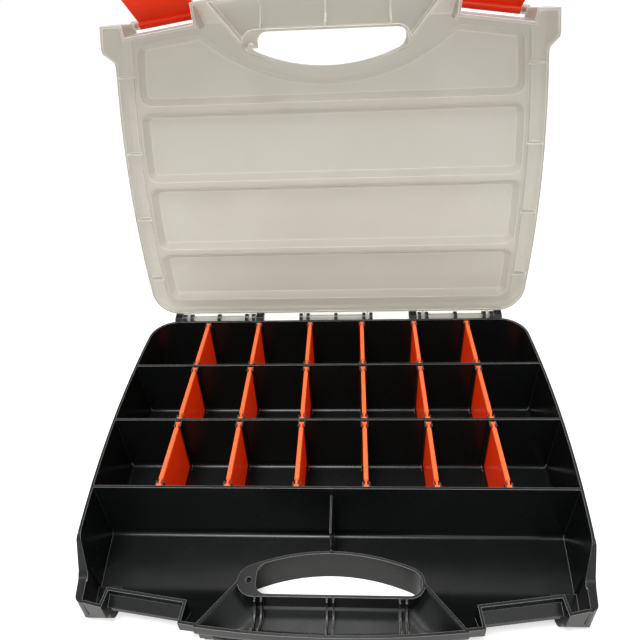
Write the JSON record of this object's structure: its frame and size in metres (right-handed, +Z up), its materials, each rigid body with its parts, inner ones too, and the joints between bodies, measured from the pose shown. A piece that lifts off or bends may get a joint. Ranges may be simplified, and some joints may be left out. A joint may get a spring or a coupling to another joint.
{
  "type": "parts sorting box",
  "caption": "Hinged sorting box with a clear lid, two snap latches, loose dividers in slotted rows, an open front row and a moulded carrying handle.",
  "frame": {"origin": "on the flat underside of the tray, midway across its width", "axes": "+X to the right across the box as seen from the handle, +Y from the handle to the hinge, +Z up"},
  "size_m": [0.3816, 0.3435, 0.3849],
  "materials": {
    "black_polypropylene": "satin black, injection moulded",
    "clear_polypropylene": "clear, slightly milky, glossy",
    "orange_polypropylene": "smooth, slightly translucent red-orange",
    "red_polypropylene": "smooth, slightly translucent red"
  },
  "bodies": {
    "base_tray": {"base_tray": "black_polypropylene"},
    "lid": {"lid": "clear_polypropylene"},
    "left_latch": {"left_latch": "orange_polypropylene"},
    "right_latch": {"right_latch": "orange_polypropylene"},
    "divider_row1_1": {"divider_row1_1": "red_polypropylene"},
    "divider_row1_2": {"divider_row1_2": "red_polypropylene"},
    "divider_row1_3": {"divider_row1_3": "red_polypropylene"},
    "divider_row1_4": {"divider_row1_4": "red_polypropylene"},
    "divider_row1_5": {"divider_row1_5": "red_polypropylene"},
    "divider_row1_6": {"divider_row1_6": "red_polypropylene"},
    "divider_row2_1": {"divider_row2_1": "red_polypropylene"},
    "divider_row2_2": {"divider_row2_2": "red_polypropylene"},
    "divider_row2_3": {"divider_row2_3": "red_polypropylene"},
    "divider_row2_4": {"divider_row2_4": "red_polypropylene"},
    "divider_row2_5": {"divider_row2_5": "red_polypropylene"},
    "divider_row2_6": {"divider_row2_6": "red_polypropylene"},
    "divider_row3_1": {"divider_row3_1": "red_polypropylene"},
    "divider_row3_2": {"divider_row3_2": "red_polypropylene"},
    "divider_row3_3": {"divider_row3_3": "red_polypropylene"},
    "divider_row3_4": {"divider_row3_4": "red_polypropylene"},
    "divider_row3_5": {"divider_row3_5": "red_polypropylene"},
    "divider_row3_6": {"divider_row3_6": "red_polypropylene"}
  },
  "joints": [
    {"name": "lid_hinge", "type": "hinge", "parent": "base_tray", "child": "lid", "pos_m": [0, 0.151, 0.0598], "axis": [-1, 0, 0], "range_deg": [-95.4, 0]},
    {"name": "left_latch_hinge", "type": "hinge", "parent": "lid", "child": "left_latch", "pos_m": [-0.12839, 0.18015, 0.34481], "axis": [-0.9908, -0.0127, -0.1348], "range_deg": [-35, 95]},
    {"name": "right_latch_hinge", "type": "hinge", "parent": "lid", "child": "right_latch", "pos_m": [0.12839, 0.18015, 0.34481], "axis": [-0.9908, 0.0127, 0.1348], "range_deg": [-35, 95]},
    {"name": "divider_row1_1_slide", "type": "slide", "parent": "base_tray", "child": "divider_row1_1", "axis": [0, 0, 1], "range_m": [0, 0.06]},
    {"name": "divider_row1_2_slide", "type": "slide", "parent": "base_tray", "child": "divider_row1_2", "axis": [0, 0, 1], "range_m": [0, 0.06]},
    {"name": "divider_row1_3_slide", "type": "slide", "parent": "base_tray", "child": "divider_row1_3", "axis": [0, 0, 1], "range_m": [0, 0.06]},
    {"name": "divider_row1_4_slide", "type": "slide", "parent": "base_tray", "child": "divider_row1_4", "axis": [0, 0, 1], "range_m": [0, 0.06]},
    {"name": "divider_row1_5_slide", "type": "slide", "parent": "base_tray", "child": "divider_row1_5", "axis": [0, 0, 1], "range_m": [0, 0.06]},
    {"name": "divider_row1_6_slide", "type": "slide", "parent": "base_tray", "child": "divider_row1_6", "axis": [0, 0, 1], "range_m": [0, 0.06]},
    {"name": "divider_row2_1_slide", "type": "slide", "parent": "base_tray", "child": "divider_row2_1", "axis": [0, 0, 1], "range_m": [0, 0.06]},
    {"name": "divider_row2_2_slide", "type": "slide", "parent": "base_tray", "child": "divider_row2_2", "axis": [0, 0, 1], "range_m": [0, 0.06]},
    {"name": "divider_row2_3_slide", "type": "slide", "parent": "base_tray", "child": "divider_row2_3", "axis": [0, 0, 1], "range_m": [0, 0.06]},
    {"name": "divider_row2_4_slide", "type": "slide", "parent": "base_tray", "child": "divider_row2_4", "axis": [0, 0, 1], "range_m": [0, 0.06]},
    {"name": "divider_row2_5_slide", "type": "slide", "parent": "base_tray", "child": "divider_row2_5", "axis": [0, 0, 1], "range_m": [0, 0.06]},
    {"name": "divider_row2_6_slide", "type": "slide", "parent": "base_tray", "child": "divider_row2_6", "axis": [0, 0, 1], "range_m": [0, 0.06]},
    {"name": "divider_row3_1_slide", "type": "slide", "parent": "base_tray", "child": "divider_row3_1", "axis": [0, 0, 1], "range_m": [0, 0.06]},
    {"name": "divider_row3_2_slide", "type": "slide", "parent": "base_tray", "child": "divider_row3_2", "axis": [0, 0, 1], "range_m": [0, 0.06]},
    {"name": "divider_row3_3_slide", "type": "slide", "parent": "base_tray", "child": "divider_row3_3", "axis": [0, 0, 1], "range_m": [0, 0.06]},
    {"name": "divider_row3_4_slide", "type": "slide", "parent": "base_tray", "child": "divider_row3_4", "axis": [0, 0, 1], "range_m": [0, 0.06]},
    {"name": "divider_row3_5_slide", "type": "slide", "parent": "base_tray", "child": "divider_row3_5", "axis": [0, 0, 1], "range_m": [0, 0.06]},
    {"name": "divider_row3_6_slide", "type": "slide", "parent": "base_tray", "child": "divider_row3_6", "axis": [0, 0, 1], "range_m": [0, 0.06]}
  ]
}
